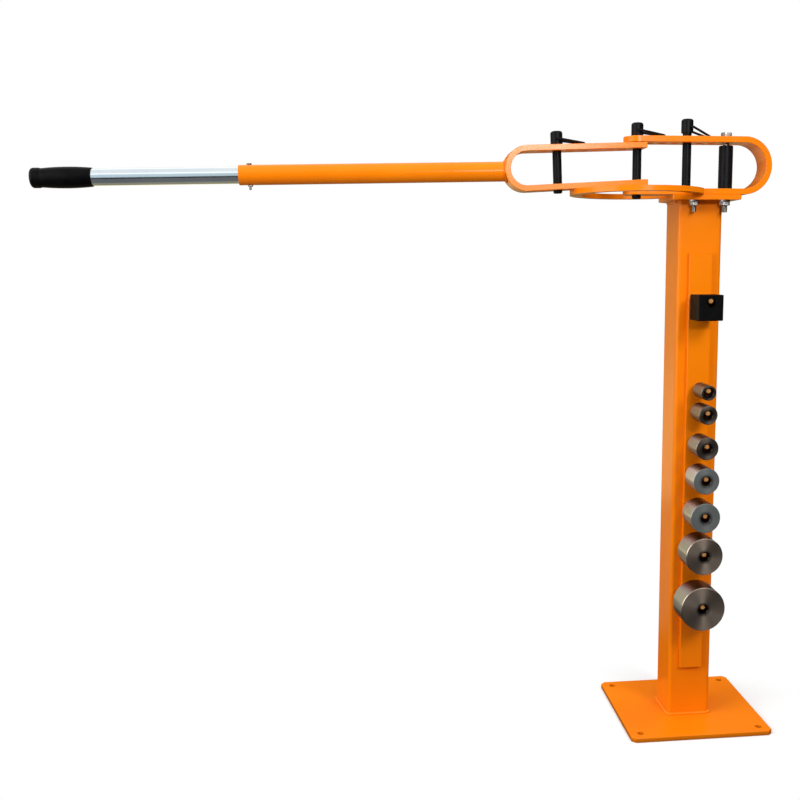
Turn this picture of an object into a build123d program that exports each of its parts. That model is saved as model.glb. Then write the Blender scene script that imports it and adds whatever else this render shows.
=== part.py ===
from build123d import *
from math import asin, cos, radians, sin, tan
import os

os.makedirs("parts", exist_ok=True)

# Manual bar bender. Millimetres. The origin is on the floor under the column's axis, X runs along
# the bending frame towards its closed end, -Y is the side the dies hang on, Z is up.

# Base plate
base_side = 248.0
base_thickness = 8.0
base_corner_cut = 7.0
base_edge_break = 0.8
base_hole_inset = 19.0
base_hole_diameter = 12.0

# Column of square tube, welded to the base plate
column_side = 75.0
column_wall = 3.0
column_corner_radius = 6.0
column_length = 898.5
weld_leg = 4.5
weld_toe = 0.6

# Top plate that carries the bending frame
top_plate_thickness = 8.0
top_plate_overhang = 20.0
top_plate_back = 5.5
top_plate_lip = 0.75
top_plate_corner_cut = 1.5
top_plate_back_cut = 28.0

# Main frame: flat bar bent into a U that lies on its side, in front of the column
bar_width = 44.5
bar_edge_break = 0.6
frame_bar = 9.5
frame_height = 92.0
frame_stand_off = 10.5
frame_right = 107.5
pivot_left = 112.5
hole_diameter = 15.0
hole_web = 2.5
frame_hole_pitch = 20.75
stud_from_pivot = 97.5
roller_from_pivot = 149.0

# Guide ring round the pivot, standing on the same level as the frame's lower leg
ring_outer_radius = 108.5
ring_inner_radius = 90.0
ring_thickness = 8.2

# Swing arm: a second U of flat bar between the frame's legs. The play on its pins lets it lean down
# until it rides on the guide ring. Its lower leg closes a little on the upper one towards the pivot.
arm_bar = 9.0
arm_lean = 1.85
arm_taper = 1.15
arm_reach = 217.5
arm_end_margin = 13.5
arm_hole_pitch = 21.7
arm_holes = 8
bending_hole = 6

# Handle
handle_lean = 1.0
socket_diameter = 31.0
socket_wall = 2.35
socket_length = 415.5
socket_drop = 3.3
tube_play = 0.3
tube_wall = 2.0
tube_inserted = 90.0
tube_bare = 220.5
grip_length = 90.5
grip_cap = 6.0
grip_neck_wall = 1.4
grip_swell_wall = 3.2
grip_waist_run = 4.0
grip_collar_wall = 2.3
grip_collar_length = 12.0
grip_end_round = 5.0
cross_bolt_inset = 16.5

# Pins with wire bails
pin_play = 0.5
pin_head_diameter = 19.5
pin_head_height = 22.0
pin_head_round = 4.0
pin_end_chamfer = 1.5
long_pin_overhang = 6.5
short_pin_overhang = 5.4
wire_diameter = 3.8
wire_play = 0.4
bail_hinge_height = 9.5
bail_length = 47.0
bail_side_gap = 3.85
bail_tip_half = 5.0
bail_bend_radius = 3.4
bail_hold = 4.75
stop_bail_turn = -18.0

# Fasteners
roller_bolt_diameter = 10.0
roller_bolt_flats = 16.0
roller_bolt_head = 6.4
roller_nut_height = 6.8
stud_diameter = 8.0
stud_nut_flats = 13.0
stud_nut_height = 6.2
thread_end = 11.0
thread_end_chamfer = 1.0
hex_chamfer = 0.8
washer_thickness = 1.6
washer_diameter = 18.6
cross_bolt_diameter = 4.0
cross_bolt_flats = 7.0
cross_bolt_head = 2.4
cross_nut_height = 2.2
cross_bolt_end = 5.0
cross_hex_chamfer = 0.6
bolt_play = 0.4
thread_play = 0.1

# Roller sleeve on the roller bolt
roller_diameter = 23.0
roller_play = 0.15
roller_end_play = 0.3
roller_top_play = 3.7
roller_chamfer = 0.8

# Die rack: strip and pegs on the column's front. The dies go from the smallest at the top to the
# largest at the bottom, with the gaps between neighbours in the same order.
rack_width = 39.0
rack_thickness = 8.0
rack_edge_break = 0.6
rack_above_base = 90.0
rack_below_top = 85.5
peg_diameter = 8.0
peg_set_back = 2.0
peg_chamfer = 1.0
block_peg_drop = 77.3
first_die_drop = 224.0
die_names = ["die_25", "die_32", "die_38", "die_44", "die_51", "die_64", "die_76"]
die_diameters = [25.4, 31.75, 38.1, 44.45, 50.8, 63.5, 76.2]
die_gaps = [8.425, 21.075, 13.725, 15.375, 9.35, 22.15]
die_play = 0.65
die_chamfer = 1.0
die_gap = 10.5
block_width = 41.0
block_height = 42.0
block_hole_below_top = 13.0
block_chamfer = 1.0

# Gap left wherever one piece rests on another and has to move off it
rest_gap = 0.3

# Heights and stations that follow from the sizes above
column_top = base_thickness + column_length
frame_bottom = column_top + top_plate_thickness
frame_top = frame_bottom + frame_height
column_face = column_side / 2
frame_forward = column_face + frame_stand_off
frame_y = -frame_forward
pivot_x = -pivot_left
stud_x = pivot_x + stud_from_pivot
roller_x = pivot_x + roller_from_pivot
pin_diameter = hole_diameter - pin_play
socket_bore = socket_diameter - 2 * socket_wall
tube_diameter = socket_bore - tube_play

# Each row of pin holes runs from the pivot as far as the roller bolt, or below it the stud, allows. The
# stop pin stands in the last hole that both rows have.
upper_row = roller_from_pivot - roller_bolt_diameter / 2 - hole_web - hole_diameter / 2
lower_row = stud_from_pivot - stud_diameter / 2 - hole_web - hole_diameter / 2
frame_upper_holes = int(upper_row / frame_hole_pitch) + 1
frame_lower_holes = int(lower_row / frame_hole_pitch) + 1
stop_x = pivot_x + (frame_lower_holes - 1) * frame_hole_pitch

# The arm fills the room between the guide ring and the frame's upper leg. Its height is taken at the
# pivot, where the dies go between its legs; its bend is round and runs into both legs.
lean = radians(arm_lean)
taper = radians(arm_taper)
arm_bottom = frame_bottom + ring_thickness + rest_gap + ring_outer_radius * tan(lean + taper)
arm_top = frame_top - frame_bar - rest_gap - arm_end_margin * sin(lean)
arm_height = (arm_top - arm_bottom) / cos(lean)
arm_bend_radius = (arm_height + arm_reach * tan(taper)) / (1 + 1 / cos(taper) + tan(taper))
arm_bend_x = -(arm_reach - arm_bend_radius)
arm_bend_height = arm_height - arm_bend_radius
die_length = arm_height - 2 * arm_bar - die_play

# The arm's own frame: origin on the pivot axis at the lower leg's underside, X along the upper leg
arm_along = (cos(lean), 0, sin(lean))
arm_up = (-sin(lean), 0, cos(lean))
arm = Plane(origin=(pivot_x, frame_y, arm_bottom), x_dir=arm_along, z_dir=arm_up)
arm_side = Plane(origin=arm.origin, x_dir=arm.x_dir, z_dir=(0, -1, 0))

# The handle's frame: its axis passes under the middle of the bend, and its stations count from the pivot
handle_along = Vector(cos(radians(handle_lean)), 0, sin(radians(handle_lean)))
handle_seat = arm.from_local_coords((arm_bend_x, 0, arm_bend_height - socket_drop))
handle_origin = handle_seat - handle_along * arm_bend_x
handle = Plane(origin=handle_origin, x_dir=(0, 1, 0), z_dir=-handle_along)
handle_side = Plane(origin=handle_origin, x_dir=handle_along, z_dir=(0, -1, 0))
handle_level = Plane(origin=handle_origin, x_dir=handle_along, z_dir=handle_side.y_dir)
socket_end = arm_reach + socket_length
cross_bolt_x = -(socket_end - cross_bolt_inset)


# Base plate
base_hole_spacing = base_side - 2 * base_hole_inset
with BuildPart() as base_plate:
    with BuildSketch():
        Rectangle(base_side, base_side)
        chamfer(vertices(), base_corner_cut)
        with GridLocations(base_hole_spacing, base_hole_spacing, 2, 2):
            Circle(base_hole_diameter / 2, mode=Mode.SUBTRACT)
    extrude(amount=base_thickness)
    rim = base_plate.faces().sort_by(Axis.Z)[-1].outer_wire().edges()
    chamfer(rim, base_edge_break)
base_plate.part.label = "base plate"
export_step(base_plate.part, "parts/base_plate.step")

# Column
with BuildPart() as column:
    with BuildSketch(Plane.XY.offset(base_thickness)):
        RectangleRounded(column_side, column_side, column_corner_radius)
        inside = column_side - 2 * column_wall
        RectangleRounded(inside, inside, column_corner_radius - column_wall, mode=Mode.SUBTRACT)
    extrude(amount=column_length)
column.part.label = "square tube column"
export_step(column.part, "parts/column.step")

# Weld bead round the column's foot
weld_foot = column_side + 2 * weld_leg
weld_head = column_side + 2 * weld_toe
with BuildPart() as foot_weld:
    with BuildSketch(Plane.XY.offset(base_thickness)):
        RectangleRounded(weld_foot, weld_foot, column_corner_radius + weld_leg)
    with BuildSketch(Plane.XY.offset(base_thickness + weld_leg)):
        RectangleRounded(weld_head, weld_head, column_corner_radius + weld_toe)
    loft()
    with BuildSketch(Plane.XY.offset(base_thickness)):
        RectangleRounded(column_side, column_side, column_corner_radius)
    extrude(amount=weld_leg, mode=Mode.SUBTRACT)
foot_weld.part.label = "weld at the column foot"
export_step(foot_weld.part, "parts/foot_weld.step")

# Top plate, its front edge just past the frame's bar
top_plate_front = frame_y - bar_width / 2 - top_plate_lip
top_plate_width = column_side + 2 * top_plate_overhang
top_plate_depth = column_face + top_plate_back - top_plate_front
with BuildPart() as top_plate:
    with BuildSketch(Plane.XY.offset(column_top)):
        with Locations((0, top_plate_front)):
            Rectangle(top_plate_width, top_plate_depth, align=(Align.CENTER, Align.MIN))
        with Locations((roller_x, frame_y)):
            Circle((roller_bolt_diameter + bolt_play) / 2, mode=Mode.SUBTRACT)
        with Locations((stud_x, frame_y)):
            Circle((stud_diameter + bolt_play) / 2, mode=Mode.SUBTRACT)
    extrude(amount=top_plate_thickness)
    front_corners = top_plate.edges().filter_by(Axis.Z).filter_by(GeomType.LINE).group_by(Axis.Y)[0]
    chamfer(front_corners, top_plate_corner_cut)
    back_corners = top_plate.edges().filter_by(Axis.Z).filter_by(GeomType.LINE).group_by(Axis.Y)[-1]
    chamfer(back_corners, top_plate_back_cut)
top_plate.part.label = "top plate"
export_step(top_plate.part, "parts/top_plate.step")

# Main frame
frame_bend_x = frame_right - frame_height / 2
frame_left = pivot_x - bar_width / 2
with BuildPart() as main_frame:
    with BuildSketch(Plane.XZ.offset(frame_forward)):
        with BuildLine():
            Line((frame_left, frame_bottom), (frame_bend_x, frame_bottom))
            CenterArc((frame_bend_x, frame_bottom + frame_height / 2), frame_height / 2, -90, 180)
            Line((frame_bend_x, frame_top), (frame_left, frame_top))
            offset(amount=frame_bar, side=Side.LEFT)
        make_face()
    extrude(amount=bar_width / 2, both=True)
    with BuildSketch(Plane.XY.offset(frame_bottom)):
        with Locations((pivot_x, frame_y)):
            Circle(bar_width / 2)
            Rectangle(frame_right - pivot_x, bar_width, align=(Align.MIN, Align.CENTER))
    extrude(amount=frame_height, mode=Mode.INTERSECT)
    rolled = main_frame.edges().filter_by(Axis.Y, reverse=True).filter_by(Axis.Z, reverse=True)
    chamfer(rolled, bar_edge_break)
    with BuildSketch(Plane.XY.offset(frame_top)):
        with Locations([(pivot_x + i * frame_hole_pitch, frame_y) for i in range(frame_upper_holes)]):
            Circle(hole_diameter / 2)
        with Locations((roller_x, frame_y)):
            Circle((roller_bolt_diameter + bolt_play) / 2)
    extrude(amount=-frame_bar, mode=Mode.SUBTRACT)
    with BuildSketch(Plane.XY.offset(frame_bottom)):
        with Locations([(pivot_x + i * frame_hole_pitch, frame_y) for i in range(frame_lower_holes)]):
            Circle(hole_diameter / 2)
        with Locations((roller_x, frame_y)):
            Circle((roller_bolt_diameter + bolt_play) / 2)
        with Locations((stud_x, frame_y)):
            Circle((stud_diameter + thread_play) / 2)
    extrude(amount=frame_bar, mode=Mode.SUBTRACT)
main_frame.part.label = "main frame"
export_step(main_frame.part, "parts/main_frame.step")

# Guide ring, open where the frame's lower leg runs through it
with BuildPart() as guide_ring:
    with BuildSketch(Plane.XY.offset(frame_bottom)):
        with Locations((pivot_x, frame_y)):
            Circle(ring_outer_radius)
            Circle(ring_inner_radius, mode=Mode.SUBTRACT)
            Rectangle(2 * ring_outer_radius, bar_width, align=(Align.MIN, Align.CENTER), mode=Mode.SUBTRACT)
    extrude(amount=ring_thickness)
guide_ring.part.label = "guide ring"
export_step(guide_ring.part, "parts/guide_ring.step")

# Stud in the lower leg, its top flush with the leg
stud_bottom = column_top - washer_thickness - stud_nut_height - thread_end
with BuildPart() as frame_stud:
    with BuildSketch(Plane.XY.offset(stud_bottom)):
        with Locations((stud_x, frame_y)):
            Circle(stud_diameter / 2)
    extrude(amount=frame_bottom + frame_bar - stud_bottom)
    chamfer(frame_stud.edges().sort_by(Axis.Z)[0], thread_end_chamfer)
frame_stud.part.label = "frame stud"
export_step(frame_stud.part, "parts/frame_stud.step")

# Roller bolt through both legs and the top plate
roller_head_z = frame_top + washer_thickness
roller_bolt_bottom = column_top - washer_thickness - roller_nut_height - thread_end
with BuildPart() as roller_bolt:
    with BuildSketch(Plane.XY.offset(roller_bolt_bottom)):
        with Locations((roller_x, frame_y)):
            Circle(roller_bolt_diameter / 2)
    extrude(amount=roller_head_z - roller_bolt_bottom)
    chamfer(roller_bolt.edges().sort_by(Axis.Z)[0], thread_end_chamfer)
    with BuildSketch(Plane.XY.offset(roller_head_z)):
        with Locations((roller_x, frame_y)):
            RegularPolygon(roller_bolt_flats / 2, 6, major_radius=False)
    extrude(amount=roller_bolt_head)
    chamfer(roller_bolt.faces().sort_by(Axis.Z)[-1].edges(), hex_chamfer)
roller_bolt.part.label = "roller bolt"
export_step(roller_bolt.part, "parts/roller_bolt.step")

# Washers: under the roller bolt's head, and on both nuts
with BuildPart() as bolt_washers:
    with BuildSketch(Plane.XY.offset(frame_top)):
        with Locations((roller_x, frame_y)):
            Circle(washer_diameter / 2)
            Circle((roller_bolt_diameter + bolt_play) / 2, mode=Mode.SUBTRACT)
    extrude(amount=washer_thickness)
    with BuildSketch(Plane.XY.offset(column_top)):
        with Locations((roller_x, frame_y)):
            Circle(washer_diameter / 2)
            Circle((roller_bolt_diameter + bolt_play) / 2, mode=Mode.SUBTRACT)
        with Locations((stud_x, frame_y)):
            Circle(washer_diameter / 2)
            Circle((stud_diameter + bolt_play) / 2, mode=Mode.SUBTRACT)
    extrude(amount=-washer_thickness)
bolt_washers.part.label = "washers"
export_step(bolt_washers.part, "parts/bolt_washers.step")

# Nuts under the top plate
with BuildPart() as bolt_nuts:
    with BuildSketch(Plane.XY.offset(column_top - washer_thickness)):
        with Locations((roller_x, frame_y)):
            RegularPolygon(roller_bolt_flats / 2, 6, major_radius=False)
            Circle((roller_bolt_diameter + thread_play) / 2, mode=Mode.SUBTRACT)
    extrude(amount=-roller_nut_height)
    with BuildSketch(Plane.XY.offset(column_top - washer_thickness)):
        with Locations((stud_x, frame_y)):
            RegularPolygon(stud_nut_flats / 2, 6, major_radius=False)
            Circle((stud_diameter + thread_play) / 2, mode=Mode.SUBTRACT)
    extrude(amount=-stud_nut_height)
    for underside in bolt_nuts.faces().filter_by(Axis.Z).sort_by(Axis.Z)[:2]:
        chamfer(underside.outer_wire().edges(), hex_chamfer)
bolt_nuts.part.label = "nuts"
export_step(bolt_nuts.part, "parts/bolt_nuts.step")

# Roller sleeve
roller_length = frame_height - 2 * frame_bar - roller_end_play - roller_top_play
with BuildPart() as roller_sleeve:
    with BuildSketch(Plane.XY.offset(frame_bottom + frame_bar + roller_end_play)):
        with Locations((roller_x, frame_y)):
            Circle(roller_diameter / 2)
            Circle((roller_bolt_diameter + roller_play) / 2, mode=Mode.SUBTRACT)
    extrude(amount=roller_length)
    rims = roller_sleeve.edges().filter_by(GeomType.CIRCLE).group_by(SortBy.RADIUS)[-1]
    chamfer(rims, roller_chamfer)
roller_sleeve.part.label = "roller sleeve"
export_step(roller_sleeve.part, "parts/roller_sleeve.step")

# Swing arm. Its pin holes are square to the upper leg, the pivot hole is true to the pivot pin.
with BuildPart() as swing_arm:
    with BuildSketch(arm_side):
        with BuildLine():
            Line((arm_end_margin, arm_height), (arm_bend_x, arm_height))
            bend = JernArc((arm_bend_x, arm_height), (-1, 0), arm_bend_radius, 180 + arm_taper)
            Line(bend @ 1, (arm_end_margin, arm_end_margin * tan(taper)))
            offset(amount=arm_bar, side=Side.LEFT)
        make_face()
    extrude(amount=bar_width / 2, both=True)
    sawn = 1.01 * arm_bar
    rolled = swing_arm.edges().filter_by(Axis.Y, reverse=True).filter_by(lambda edge: edge.length > sawn)
    chamfer(rolled, bar_edge_break)
    with BuildSketch(arm.offset(arm_height)):
        with Locations([(-i * arm_hole_pitch, 0) for i in range(1, arm_holes)]):
            Circle(hole_diameter / 2)
    extrude(amount=-2 * arm_bend_radius - arm_bar, mode=Mode.SUBTRACT)
    with BuildSketch(Plane.XY.offset(frame_bottom)):
        with Locations((pivot_x, frame_y)):
            Circle(hole_diameter / 2)
    extrude(amount=frame_height, mode=Mode.SUBTRACT)
swing_arm.part.label = "swing arm"
export_step(swing_arm.part, "parts/swing_arm.step")

# Handle socket, its end shaped to the outside of the arm's bend
with BuildPart() as handle_socket:
    with BuildSketch(handle.offset(-arm_bend_x)):
        Circle(socket_diameter / 2)
        Circle(socket_bore / 2, mode=Mode.SUBTRACT)
    extrude(amount=socket_end + arm_bend_x)
    with BuildSketch(arm_side):
        with Locations((arm_bend_x, arm_bend_height)):
            Circle(arm_bend_radius)
    extrude(amount=bar_width, both=True, mode=Mode.SUBTRACT)
    with BuildSketch(handle_level):
        with Locations((cross_bolt_x, 0)):
            Circle((cross_bolt_diameter + bolt_play) / 2)
    extrude(amount=socket_diameter, both=True, mode=Mode.SUBTRACT)
handle_socket.part.label = "handle socket"
export_step(handle_socket.part, "parts/handle_socket.step")

# Handle tube, held in the socket by the cross bolt
tube_start = socket_end - tube_inserted
grip_start = socket_end + tube_bare
with BuildPart() as handle_tube:
    with BuildSketch(handle.offset(tube_start)):
        Circle(tube_diameter / 2)
        Circle(tube_diameter / 2 - tube_wall, mode=Mode.SUBTRACT)
    extrude(amount=tube_inserted + tube_bare + grip_length - grip_cap)
    with BuildSketch(handle_level):
        with Locations((cross_bolt_x, 0)):
            Circle((cross_bolt_diameter + bolt_play) / 2)
    extrude(amount=socket_diameter, both=True, mode=Mode.SUBTRACT)
handle_tube.part.label = "handle tube"
export_step(handle_tube.part, "parts/handle_tube.step")

# Grip: a swelling barrel, a waist, and a rounded collar that closes the end
grip_end = grip_start + grip_length
collar_start = grip_end - grip_collar_length
waist_x = collar_start - grip_waist_run
tube_skin = tube_diameter / 2
with BuildPart() as handle_grip:
    with BuildSketch(handle_side):
        with BuildLine():
            neck = (-grip_start, tube_skin + grip_neck_wall)
            swell = (-(grip_start + waist_x) / 2, tube_skin + grip_swell_wall)
            waist = (-waist_x, tube_skin + grip_neck_wall)
            collar = (-collar_start, tube_skin + grip_collar_wall)
            collar_crest = (-(grip_end - grip_end_round), tube_skin + grip_collar_wall)
            end_rim = (-grip_end, tube_skin + grip_collar_wall - grip_end_round)
            Line((-grip_start, tube_skin), neck)
            ThreePointArc(neck, swell, waist)
            Line(waist, collar)
            Line(collar, collar_crest)
            RadiusArc(collar_crest, end_rim, -grip_end_round)
            Polyline(
                end_rim,
                (-grip_end, 0),
                (-(grip_end - grip_cap), 0),
                (-(grip_end - grip_cap), tube_skin),
                (-grip_start, tube_skin),
            )
        make_face()
    revolve(axis=Axis(handle.origin, handle_along))
handle_grip.part.label = "grip"
export_step(handle_grip.part, "parts/handle_grip.step")

# Cross bolt and nut of the handle
with BuildPart() as handle_bolt:
    with BuildSketch(handle_level.offset(socket_diameter / 2)):
        with Locations((cross_bolt_x, 0)):
            RegularPolygon(cross_bolt_flats / 2, 6, major_radius=False)
    extrude(amount=cross_bolt_head)
    chamfer(handle_bolt.faces().sort_by(Axis.Z)[-1].edges(), cross_hex_chamfer)
    with BuildSketch(handle_level.offset(socket_diameter / 2)):
        with Locations((cross_bolt_x, 0)):
            Circle(cross_bolt_diameter / 2)
    extrude(amount=-(socket_diameter + cross_nut_height + cross_bolt_end))
handle_bolt.part.label = "handle cross bolt"
export_step(handle_bolt.part, "parts/handle_bolt.step")

with BuildPart() as handle_nut:
    with BuildSketch(handle_level.offset(-socket_diameter / 2)):
        with Locations((cross_bolt_x, 0)):
            RegularPolygon(cross_bolt_flats / 2, 6, major_radius=False)
            Circle((cross_bolt_diameter + thread_play) / 2, mode=Mode.SUBTRACT)
    extrude(amount=-cross_nut_height)
    chamfer(handle_nut.faces().sort_by(Axis.Z)[0].outer_wire().edges(), cross_hex_chamfer)
handle_nut.part.label = "handle nut"
export_step(handle_nut.part, "parts/handle_nut.step")


# A pin hangs by its head. Its seat is a plane on the pin's axis at the head's underside, with X
# towards the bail's tip.
def make_pin(seat, stem_length, node, label):
    hinge = seat.offset(bail_hinge_height)
    with BuildPart() as pin:
        with BuildSketch(seat):
            Circle(pin_head_diameter / 2)
        extrude(amount=pin_head_height)
        fillet(pin.edges().filter_by(GeomType.CIRCLE).sort_by(Axis.Z)[-1], pin_head_round)
        with BuildSketch(seat):
            Circle(pin_diameter / 2)
        extrude(amount=-stem_length)
        chamfer(pin.edges().filter_by(GeomType.CIRCLE).sort_by(Axis.Z)[0], pin_end_chamfer)
        with BuildSketch(Plane(origin=hinge.origin, x_dir=seat.x_dir, z_dir=seat.y_dir)):
            Circle((wire_diameter + wire_play) / 2)
        extrude(amount=pin_head_diameter, both=True, mode=Mode.SUBTRACT)
    pin.part.label = label
    export_step(pin.part, f"parts/{node}.step")


# The bail is one wire: both ends turn into the head's cross hole, the loop narrows to its tip, and
# the tip comes down on the bar that the pin stands in, head_lift below the head.
def make_bail(seat, head_lift, node, label):
    hinge = seat.offset(bail_hinge_height)
    tip = bail_length - wire_diameter / 2
    root = pin_head_diameter / 2 + bail_side_gap
    entry = pin_head_diameter / 2 - bail_hold
    slope = asin((bail_hinge_height + head_lift - wire_diameter / 2 - rest_gap) / tip)
    along = seat.x_dir * cos(slope) - seat.z_dir * sin(slope)
    loop = Plane(origin=hinge.origin, x_dir=along, z_dir=along.cross(seat.y_dir))
    with BuildPart() as bail:
        with BuildLine(loop) as wire:
            FilletPolyline(
                (0, entry),
                (0, root),
                (tip, bail_tip_half),
                (tip, -bail_tip_half),
                (0, -root),
                (0, -entry),
                radius=bail_bend_radius,
            )
        with BuildSketch(Plane(origin=wire.line @ 0, z_dir=wire.line % 0)):
            Circle(wire_diameter / 2)
        sweep()
    bail.part.label = label
    export_step(bail.part, f"parts/{node}.step")


# Pivot pin: the arm turns on it
pivot_seat = Plane.XY.offset(frame_top + rest_gap).moved(Location((pivot_x, frame_y, 0)))
make_pin(pivot_seat, frame_height + long_pin_overhang, "pivot_pin", "pivot pin")
make_bail(pivot_seat, rest_gap, "pivot_bail", "pivot pin bail")

# Stop pin: as long as the pivot pin, it stands on the top plate
stop_lift = long_pin_overhang + rest_gap
stop_place = Location((stop_x, frame_y, frame_top + stop_lift), (0, 0, -stop_bail_turn))
stop_seat = Plane(stop_place)
make_pin(stop_seat, frame_height + long_pin_overhang, "stop_pin", "stop pin")
make_bail(stop_seat, stop_lift, "stop_bail", "stop pin bail")

# Bending pin: it swings with the arm, and goes through both legs where they stand wider apart
bending_x = -bending_hole * arm_hole_pitch
bending_seat = Plane(
    origin=arm.from_local_coords((bending_x, 0, arm_height + rest_gap)),
    x_dir=arm.x_dir,
    z_dir=arm.z_dir,
)
bending_stem = arm_height - bending_x * tan(taper) + short_pin_overhang
make_pin(bending_seat, bending_stem, "bending_pin", "bending pin")
make_bail(bending_seat, rest_gap, "bending_bail", "bending pin bail")

# Die rack on the column's front
rack_bottom = base_thickness + rack_above_base
rack_top = column_top - rack_below_top
rack_front = Plane.XZ.offset(column_face + rack_thickness)
with BuildPart() as die_rack:
    with BuildSketch(rack_front):
        with Locations((0, rack_bottom)):
            Rectangle(rack_width, rack_top - rack_bottom, align=(Align.CENTER, Align.MIN))
    extrude(amount=-rack_thickness)
    chamfer(die_rack.faces().sort_by(Axis.Y)[0].edges(), rack_edge_break)
die_rack.part.label = "die rack strip"
export_step(die_rack.part, "parts/die_rack.step")

# Pegs: one for the block, and below it one for each die, as far apart as the dies need
block_peg_height = rack_top - block_peg_drop
die_peg_heights = [rack_top - first_die_drop]
for upper, lower, gap in zip(die_diameters, die_diameters[1:], die_gaps):
    die_peg_heights.append(die_peg_heights[-1] - upper / 2 - gap - lower / 2)
peg_length = die_gap + die_length - peg_set_back
with BuildPart() as rack_pegs:
    with BuildSketch(rack_front):
        with Locations([(0, height) for height in [block_peg_height] + die_peg_heights]):
            Circle(peg_diameter / 2)
    extrude(amount=peg_length)
    tips = rack_pegs.edges().filter_by(GeomType.CIRCLE).group_by(Axis.Y)[0]
    chamfer(tips, peg_chamfer)
rack_pegs.part.label = "rack pegs"
export_step(rack_pegs.part, "parts/rack_pegs.step")

# Whatever hangs on a peg hangs by the top of its bore
hang = (hole_diameter - peg_diameter) / 2 - rest_gap
die_back = Plane.XZ.offset(column_face + rack_thickness + die_gap)
for name, diameter, peg_height in zip(die_names, die_diameters, die_peg_heights):
    with BuildPart() as die:
        with BuildSketch(die_back):
            with Locations((0, peg_height - hang)):
                Circle(diameter / 2)
                Circle(hole_diameter / 2, mode=Mode.SUBTRACT)
        extrude(amount=die_length)
        chamfer(die.edges().filter_by(GeomType.CIRCLE), die_chamfer)
    die.part.label = f"round die {diameter} mm"
    export_step(die.part, f"parts/{name}.step")

with BuildPart() as square_block:
    with BuildSketch(die_back):
        with Locations((0, block_peg_height - hang + block_hole_below_top)):
            Rectangle(block_width, block_height, align=(Align.CENTER, Align.MAX))
        with Locations((0, block_peg_height - hang)):
            Circle(hole_diameter / 2, mode=Mode.SUBTRACT)
    extrude(amount=die_length)
    chamfer(square_block.edges().filter_by(GeomType.LINE), block_chamfer)
square_block.part.label = "square bending block"
export_step(square_block.part, "parts/square_block.step")
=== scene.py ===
from math import cos, pi, radians, sin, sqrt, tan

import bmesh
import bpy
from mathutils import Matrix, Vector


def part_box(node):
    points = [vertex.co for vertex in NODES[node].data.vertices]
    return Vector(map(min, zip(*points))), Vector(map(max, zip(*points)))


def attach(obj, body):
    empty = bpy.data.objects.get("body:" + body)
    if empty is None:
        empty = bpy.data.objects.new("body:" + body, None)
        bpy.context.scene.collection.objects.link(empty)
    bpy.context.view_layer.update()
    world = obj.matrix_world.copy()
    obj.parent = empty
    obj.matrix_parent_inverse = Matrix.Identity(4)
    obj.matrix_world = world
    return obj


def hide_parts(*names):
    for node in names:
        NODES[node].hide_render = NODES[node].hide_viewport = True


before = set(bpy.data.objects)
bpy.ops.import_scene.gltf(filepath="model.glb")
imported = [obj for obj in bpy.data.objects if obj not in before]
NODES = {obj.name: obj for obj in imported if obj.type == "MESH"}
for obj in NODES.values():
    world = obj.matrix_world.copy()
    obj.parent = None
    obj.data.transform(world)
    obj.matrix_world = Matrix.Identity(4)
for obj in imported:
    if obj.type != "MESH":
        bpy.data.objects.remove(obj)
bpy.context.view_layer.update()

# Boxes and lines of the machine, read off the CAD, in metres
ROLLER_LOW, ROLLER_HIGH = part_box("roller_sleeve")
ROLLER_X = (ROLLER_LOW.x + ROLLER_HIGH.x) / 2
FRAME_Y = (ROLLER_LOW.y + ROLLER_HIGH.y) / 2
STUD_LOW, STUD_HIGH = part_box("frame_stud")
STUD_X = (STUD_LOW.x + STUD_HIGH.x) / 2
BOLT_LOW, BOLT_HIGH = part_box("roller_bolt")
WASHER_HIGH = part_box("bolt_washers")[1]
NUT_LOW, NUT_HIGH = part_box("bolt_nuts")
CROSS_LOW, CROSS_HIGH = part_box("handle_bolt")
CROSS_NUT_LOW, CROSS_NUT_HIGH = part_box("handle_nut")
COLUMN_LOW, COLUMN_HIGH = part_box("column")
RING_LOW, RING_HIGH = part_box("guide_ring")
FRAME_LOW, FRAME_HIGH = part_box("main_frame")
SOCKET_LOW, SOCKET_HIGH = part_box("handle_socket")
HANDLE_LEAN = radians(1.0)


# Selecting and finishing

# Points this close to each other are merged, and points this close to a level lie on it
MERGE_GAP = 1e-6
LEVEL_GAP = 1e-7

# Faces that meet at a smaller angle than this, in degrees, are shaded as one
CREASE = 35.0
BEAD_CREASE = 60.0


def only(piece):
    bpy.ops.object.select_all(action="DESELECT")
    piece.select_set(True)
    bpy.context.view_layer.objects.active = piece


def open_up(piece):
    only(piece)
    bpy.ops.object.mode_set(mode="EDIT")


def close_up():
    bpy.ops.object.mode_set(mode="OBJECT")


def pick_all():
    bpy.ops.mesh.select_all(action="SELECT")


def pick_points(piece, wanted):
    """Selects the points of the piece in edit mode whose place the test takes."""
    bpy.ops.mesh.select_mode(type="VERT")
    bpy.ops.mesh.select_all(action="DESELECT")
    mesh = bmesh.from_edit_mesh(piece.data)
    for point in mesh.verts:
        point.select = bool(wanted(point.co))
    mesh.select_flush_mode()
    bmesh.update_edit_mesh(piece.data)


def pick_faces(piece, wanted):
    """Selects the faces of the piece in edit mode whose normal the test takes."""
    bpy.ops.mesh.select_mode(type="FACE")
    bpy.ops.mesh.select_all(action="DESELECT")
    mesh = bmesh.from_edit_mesh(piece.data)
    mesh.normal_update()
    for face in mesh.faces:
        face.select = bool(wanted(face.normal))
    mesh.select_flush_mode()
    bmesh.update_edit_mesh(piece.data)


def started(name):
    """Names the piece that an operator has just made or joined."""
    piece = bpy.context.active_object
    piece.name = name
    piece.data.name = name
    return piece


def begun(name, add, **sizes):
    """A primitive, added alone in the selection and named."""
    bpy.ops.object.select_all(action="DESELECT")
    add(**sizes)
    return started(name)


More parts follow.
